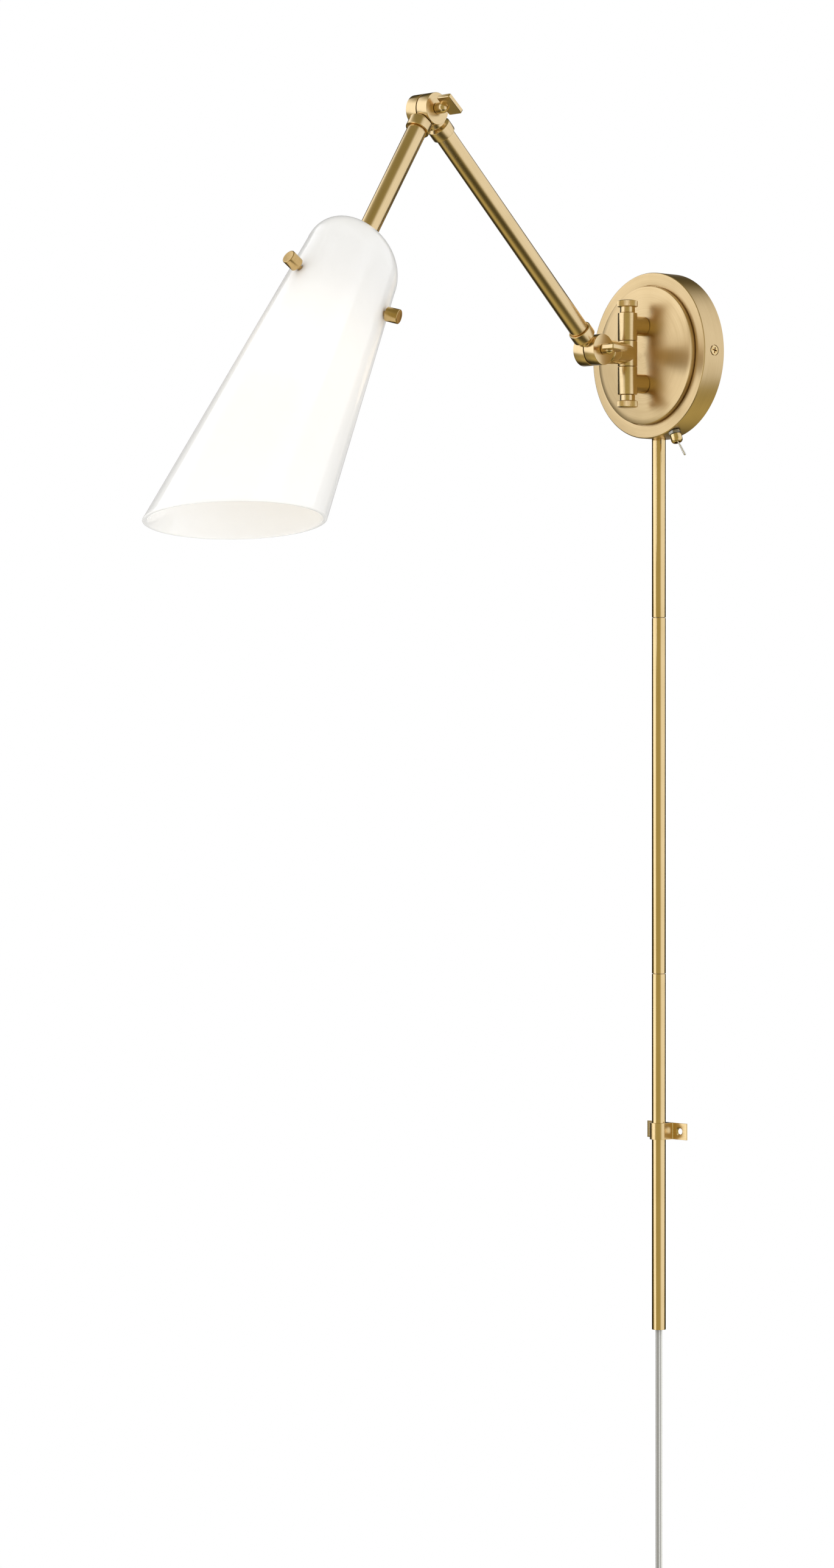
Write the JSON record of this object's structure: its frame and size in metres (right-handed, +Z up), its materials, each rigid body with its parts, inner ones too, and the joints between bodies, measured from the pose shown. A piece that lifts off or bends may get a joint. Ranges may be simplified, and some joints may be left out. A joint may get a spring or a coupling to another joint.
{
  "type": "swing arm wall sconce",
  "caption": "Plug-in wall sconce with a hinged canopy, a folding tube arm on friction knuckles, a slanted opal glass shade and a cord conduit down the wall.",
  "frame": {"origin": "centre of the canopy's circle on the wall plane", "axes": "+Z up, -Y out of the wall into the room, +X to the right as seen from the room; the wall is the plane Y = 0"},
  "size_m": [0.1662, 0.4939, 1.1856],
  "materials": {
    "brass_satin": "satin, fine brushed",
    "brass_tube": "satin, drawn tube",
    "brass_polished": "polished",
    "zinc_steel": "zinc plated",
    "chrome_lever": "bright",
    "opal_glass": "gloss white opal",
    "bulb_glass": "frosted",
    "bulb_metal": "rolled thread",
    "holder_white": "moulded",
    "fibre": "pressed fibre",
    "black_nylon": "matte",
    "clear_cord": "glossy, translucent"
  },
  "bodies": {
    "root": {"canopy_cover": "brass_satin", "wall_bracket": "zinc_steel", "side_screw_right": "brass_polished", "side_screw_left": "brass_polished", "upper_hinge_bracket": "brass_satin", "lower_hinge_bracket": "brass_satin", "upper_post_screw": "zinc_steel", "lower_post_screw": "zinc_steel", "hinge_pin": "zinc_steel", "switch_body": "zinc_steel", "switch_lock_nut": "zinc_steel", "switch_dress_nut": "brass_polished", "conduit_upper": "brass_tube", "conduit_middle": "brass_tube", "conduit_lower": "brass_tube", "conduit_coupler_1": "zinc_steel", "conduit_coupler_2": "zinc_steel", "conduit_nut": "zinc_steel", "conduit_end_bush": "black_nylon", "strap_clip": "brass_satin", "cord_drop": "clear_cord", "cord_coil": "clear_cord", "cord_tie": "black_nylon", "plug_body": "clear_cord", "plug_blade_left": "brass_polished", "plug_blade_right": "brass_polished"},
    "upper_cap": {"upper_hinge_cap": "brass_satin"},
    "lower_cap": {"lower_hinge_cap": "brass_satin"},
    "toggle": {"toggle_lever": "chrome_lever"},
    "swing": {"swing_tee": "brass_satin", "lower_knuckle_inner": "brass_satin", "lower_friction_washer": "fibre"},
    "lower_arm": {"lower_knuckle_outer": "brass_satin", "lower_arm_tube": "brass_tube", "elbow_knuckle_inner": "brass_satin", "elbow_friction_washer": "fibre"},
    "lower_key": {"lower_thumb_key": "brass_satin"},
    "elbow_key": {"elbow_thumb_key": "brass_satin"},
    "upper_arm": {"elbow_knuckle_outer": "brass_satin", "upper_arm_tube": "brass_tube", "tube_end_plug": "brass_satin", "fitter_threaded_rod": "zinc_steel", "shade_fitter": "brass_satin", "fitter_lock_nut": "zinc_steel", "lampholder": "holder_white", "bulb_base": "bulb_metal", "bulb_globe": "bulb_glass", "glass_shade": "opal_glass"},
    "shade_screw_1": {"thumb_screw_1": "brass_satin"},
    "shade_screw_2": {"thumb_screw_2": "brass_satin"},
    "shade_screw_3": {"thumb_screw_3": "brass_satin"}
  },
  "joints": [
    {"name": "arm_swing", "type": "hinge", "parent": "root", "child": "swing", "pos_m": [0, -0.0395, 0], "axis": [0, 0, 1], "range_deg": [-82.5, 47.5]},
    {"name": "lower_pivot", "type": "hinge", "parent": "swing", "child": "lower_arm", "pos_m": [0.00491, -0.07678, 0], "axis": [0.9914, 0.1305, 0], "range_deg": [-48.9, 41.1]},
    {"name": "elbow_pivot", "type": "hinge", "parent": "lower_arm", "child": "upper_arm", "pos_m": [0.02768, -0.24974, 0.15218], "axis": [0.9914, 0.1305, 0], "range_deg": [-82.6, 12]},
    {"name": "lower_key_turn", "type": "hinge", "parent": "lower_arm", "child": "lower_key", "pos_m": [0.01452, -0.07551, 0], "axis": [0.9914, 0.1305, 0], "range_deg": [-180, 180]},
    {"name": "elbow_key_turn", "type": "hinge", "parent": "lower_arm", "child": "elbow_key", "pos_m": [0.0373, -0.24847, 0.15218], "axis": [0.9914, 0.1305, 0], "range_deg": [-180, 180]},
    {"name": "upper_cap_turn", "type": "hinge", "parent": "root", "child": "upper_cap", "pos_m": [0, -0.0395, 0.03], "axis": [0, 0, 1], "range_deg": [-180, 180]},
    {"name": "lower_cap_turn", "type": "hinge", "parent": "root", "child": "lower_cap", "pos_m": [0, -0.0395, -0.03], "axis": [0, 0, 1], "range_deg": [-180, 180]},
    {"name": "toggle_throw", "type": "hinge", "parent": "root", "child": "toggle", "pos_m": [0.02457, -0.0143, -0.06082], "axis": [0.9272, 0, 0.3746], "range_deg": [-34, 0]},
    {"name": "shade_screw_1_turn", "type": "hinge", "parent": "upper_arm", "child": "shade_screw_1", "pos_m": [0.04216, -0.37734, 0.03762], "axis": [0.0568, -0.8324, 0.5512], "range_deg": [-180, 180]},
    {"name": "shade_screw_2_turn", "type": "hinge", "parent": "upper_arm", "child": "shade_screw_2", "pos_m": [0.00056, -0.32583, 0.00023], "axis": [-0.8908, 0.3408, -0.3006], "range_deg": [-180, 180]},
    {"name": "shade_screw_3_turn", "type": "hinge", "parent": "upper_arm", "child": "shade_screw_3", "pos_m": [0.07628, -0.31921, 0.00242], "axis": [0.834, 0.4916, -0.2506], "range_deg": [-180, 180]}
  ]
}
